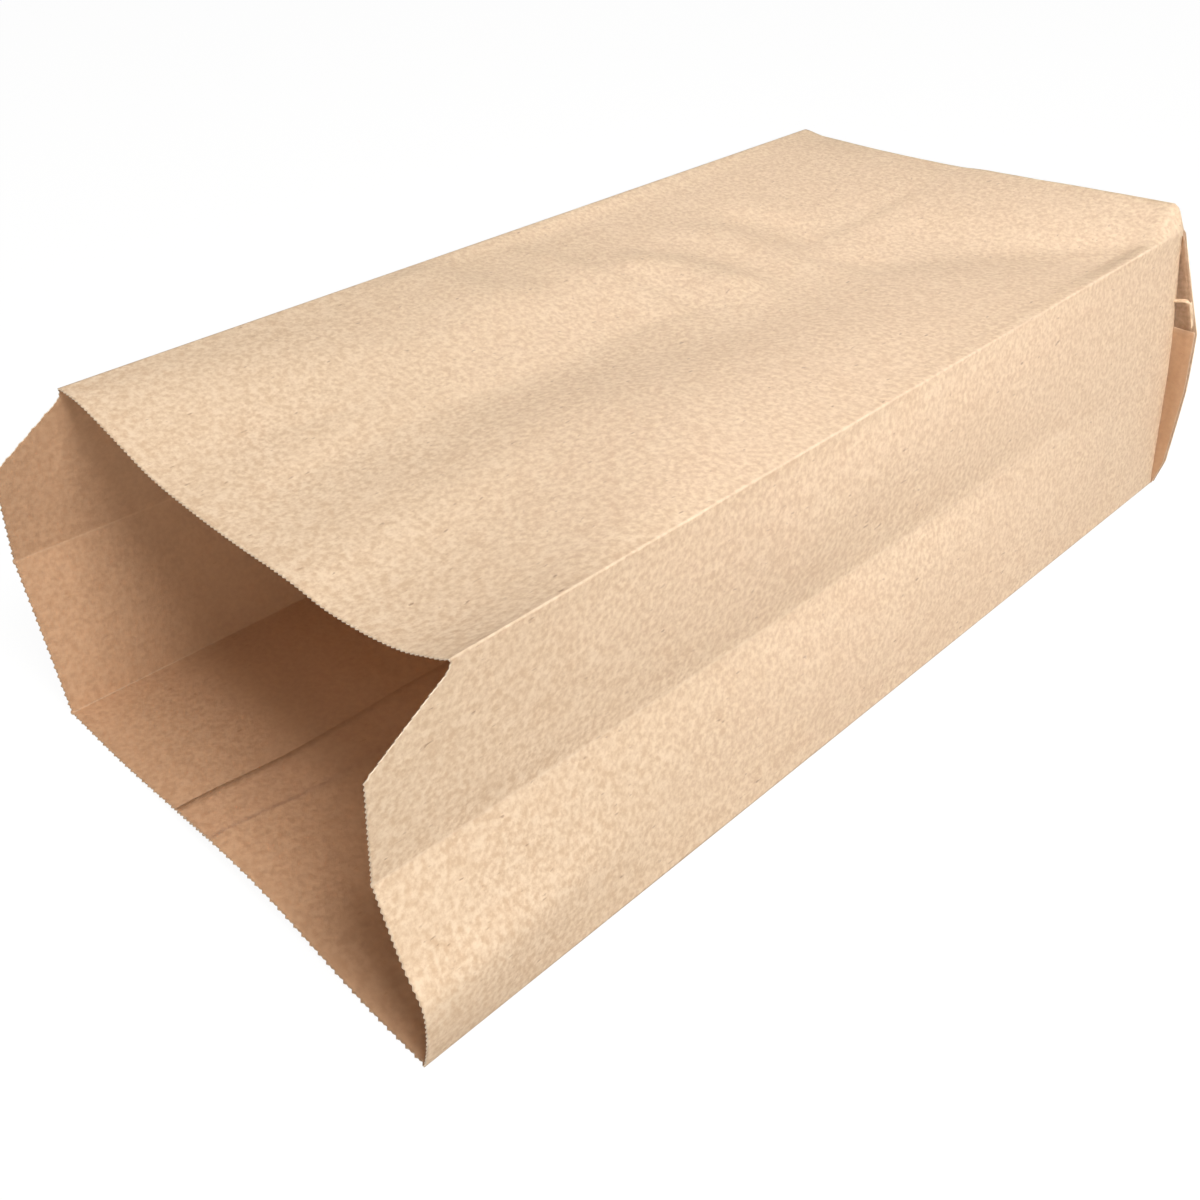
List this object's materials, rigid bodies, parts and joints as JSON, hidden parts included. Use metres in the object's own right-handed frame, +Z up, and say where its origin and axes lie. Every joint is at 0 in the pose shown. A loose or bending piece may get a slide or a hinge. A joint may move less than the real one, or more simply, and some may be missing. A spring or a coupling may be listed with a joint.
{
  "type": "paper lunch bag",
  "caption": "Open kraft paper bag lying on a wide side, with creased gussets, a pinked mouth whose upper lip is cut shorter, and a folded block bottom.",
  "frame": {"origin": "under the middle of the bag's box, on the surface it lies on", "axes": "+Y from the open mouth to the folded base, +Z up from the floor panel, +X to the right seen from the mouth"},
  "size_m": [0.1422, 0.2742, 0.0819],
  "materials": {
    "kraft": "matte unbleached kraft paper"
  },
  "bodies": {
    "root": {"paper_bag": "kraft"}
  },
  "joints": []
}
